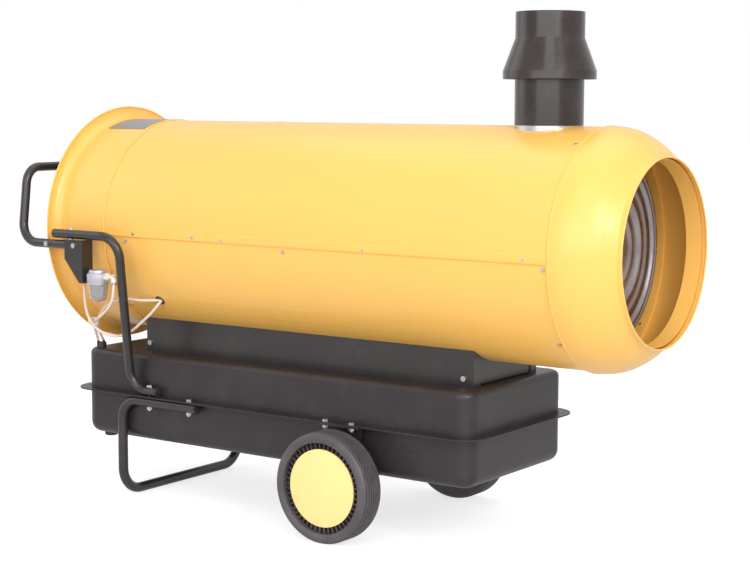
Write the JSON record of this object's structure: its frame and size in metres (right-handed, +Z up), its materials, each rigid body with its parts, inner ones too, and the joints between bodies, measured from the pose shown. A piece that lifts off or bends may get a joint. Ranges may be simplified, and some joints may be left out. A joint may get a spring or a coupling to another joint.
{
  "type": "indirect fired heater",
  "caption": "Wheeled oil-fired space heater: cylindrical casing with flared inlet and domed outlet, flue with cap, fuel tank, wheels, rear leg and tube handle.",
  "frame": {"origin": "on the floor, under the middle of the whole length", "axes": "+X along the casing towards the warm air outlet, +Y the left side, +Z up"},
  "size_m": [1.613, 0.651, 1.171],
  "materials": {
    "yellow_paint": "satin powder coat",
    "bare_plate": "bare plate",
    "bright_zinc": "bright zinc",
    "bright_steel": "bright",
    "flue_black": "semi-gloss heat-proof paint",
    "tank_black": "semi-gloss paint",
    "black_paint": "satin paint",
    "black_plastic": "moulded",
    "yellow_plastic": "moulded",
    "tyre_rubber": "moulded",
    "fuel_hose": "extruded, pale",
    "clear_plastic": "moulded",
    "dark_rubber": "moulded",
    "cast_alloy": "cast",
    "clear_bowl": "clear",
    "motor_paint": "satin",
    "fan_alloy": "stamped",
    "burner_alloy": "cast",
    "hot_steel": "heat tinted",
    "red_plastic": "moulded",
    "lamp_plastic": "moulded"
  },
  "bodies": {
    "heater": {"upper_rear_cover": "yellow_paint", "upper_front_shell": "yellow_paint", "lower_shell": "yellow_paint", "nose_cone": "yellow_paint", "inlet_ring": "yellow_paint", "outlet_ring": "yellow_paint", "data_plate": "bare_plate", "casing_screws": "bright_zinc", "frame_bolts": "bright_zinc", "flue_collar": "bright_steel", "axle": "bright_steel", "filler_neck": "bright_steel", "flue_pipe": "flue_black", "flue_cap": "flue_black", "fuel_tank_lower": "tank_black", "fuel_tank_upper": "tank_black", "axle_bracket_right": "tank_black", "axle_bracket_left": "tank_black", "cradle_right": "black_paint", "cradle_left": "black_paint", "cradle_braces": "black_paint", "rear_leg": "black_paint", "upright_right": "black_paint", "upright_left": "black_paint", "handle": "black_paint", "filter_bracket": "black_paint", "motor_bracket": "black_paint", "fan_guard": "black_paint", "drain_plug": "black_plastic", "tank_fitting": "black_plastic", "tube_plugs": "black_plastic", "control_box": "black_plastic", "hose_filter_burner": "fuel_hose", "hose_filter_tank": "fuel_hose", "hose_burner_tank": "fuel_hose", "hose_tie": "clear_plastic", "hose_grommet": "dark_rubber", "filter_head": "cast_alloy", "fuel_pump": "cast_alloy", "filter_bowl": "clear_bowl", "fan_motor": "motor_paint", "burner_motor": "motor_paint", "burner_housing": "burner_alloy", "heat_exchanger": "hot_steel", "combustion_chamber": "hot_steel", "blast_tube": "hot_steel", "pilot_lamp": "lamp_plastic"},
    "wheel_right": {"tyre_right": "tyre_rubber", "rim_right": "black_plastic", "hub_cap_right": "yellow_plastic"},
    "wheel_left": {"tyre_left": "tyre_rubber", "rim_left": "black_plastic", "hub_cap_left": "yellow_plastic"},
    "fan_rotor": {"fan": "fan_alloy"},
    "burner_rotor": {"burner_impeller": "fan_alloy"},
    "filler_lid": {"filler_cap": "black_plastic"},
    "selector": {"selector_knob": "black_plastic"},
    "reset": {"reset_button": "red_plastic"},
    "socket_cover": {"socket_lid": "black_plastic"},
    "damper": {"air_damper": "burner_alloy"}
  },
  "joints": [
    {"name": "wheel_right_spin", "type": "hinge", "parent": "heater", "child": "wheel_right", "pos_m": [0.1255, -0.271, 0.125], "axis": [0, 1, 0], "continuous": true},
    {"name": "wheel_left_spin", "type": "hinge", "parent": "heater", "child": "wheel_left", "pos_m": [0.1255, 0.271, 0.125], "axis": [0, 1, 0], "continuous": true},
    {"name": "fan_spin", "type": "hinge", "parent": "heater", "child": "fan_rotor", "pos_m": [-0.5385, 0, 0.663], "axis": [1, 0, 0], "continuous": true},
    {"name": "burner_rotor_spin", "type": "hinge", "parent": "heater", "child": "burner_rotor", "pos_m": [-0.376, 0, 0.643], "axis": [0, 1, 0], "continuous": true},
    {"name": "filler_cap_turn", "type": "hinge", "parent": "heater", "child": "filler_lid", "pos_m": [-0.6035, 0.13, 0.38], "axis": [0, 0, 1], "range_deg": [0, 90]},
    {"name": "selector_turn", "type": "hinge", "parent": "heater", "child": "selector", "pos_m": [-0.3355, 0.3, 0.587], "axis": [0, 1, 0], "range_deg": [-60, 60]},
    {"name": "reset_press", "type": "slide", "parent": "heater", "child": "reset", "axis": [0, -1, 0], "range_m": [0, 0.003], "stiffness_N_per_m": 400, "springref_m": -0.001},
    {"name": "socket_lid_flip", "type": "hinge", "parent": "heater", "child": "socket_cover", "pos_m": [-0.2135, 0.3028, 0.611], "axis": [1, 0, 0], "range_deg": [0, 100]},
    {"name": "air_damper_turn", "type": "hinge", "parent": "heater", "child": "damper", "pos_m": [-0.4485, 0, 0.643], "axis": [1, 0, 0], "range_deg": [0, 45]}
  ]
}
